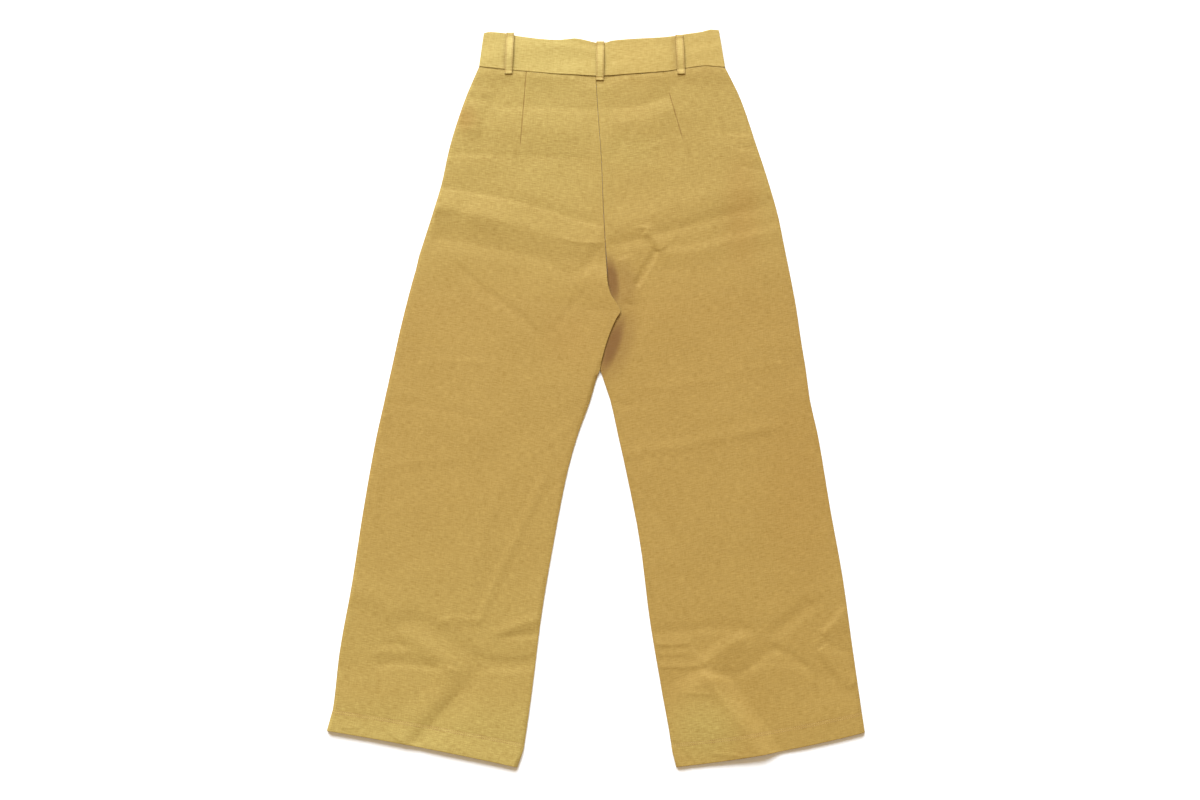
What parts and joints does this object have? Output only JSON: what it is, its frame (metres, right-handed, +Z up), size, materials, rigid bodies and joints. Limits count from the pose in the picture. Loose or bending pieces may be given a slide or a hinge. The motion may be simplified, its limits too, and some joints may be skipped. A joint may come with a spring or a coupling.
{
  "type": "straight-leg trousers laid flat",
  "caption": "High-waisted straight-leg linen trousers laid flat with the back uppermost, with belt loops, back darts, turned hems and a lapped crotch.",
  "frame": {"origin": "centre of the outline seen from above, at the level of the surface that the trousers lie on", "axes": "+Y from the hems to the waist, +X to the wearer's right, +Z up through the fronts to the backs"},
  "size_m": [0.754, 1.0336, 0.0103],
  "materials": {
    "linen": "matte mustard plain-weave linen with fine crosswise slubs",
    "zip_tape": "plain woven tape dyed to match"
  },
  "bodies": {
    "root": {"back_left": "linen", "back_right": "linen", "front_left": "linen", "front_right": "linen", "waistband_back": "linen", "waistband_front": "linen", "loop_back_left": "linen", "loop_back_centre": "linen", "loop_back_right": "linen", "loop_front_left": "linen", "loop_front_right": "linen", "side_zip": "zip_tape"}
  },
  "joints": []
}
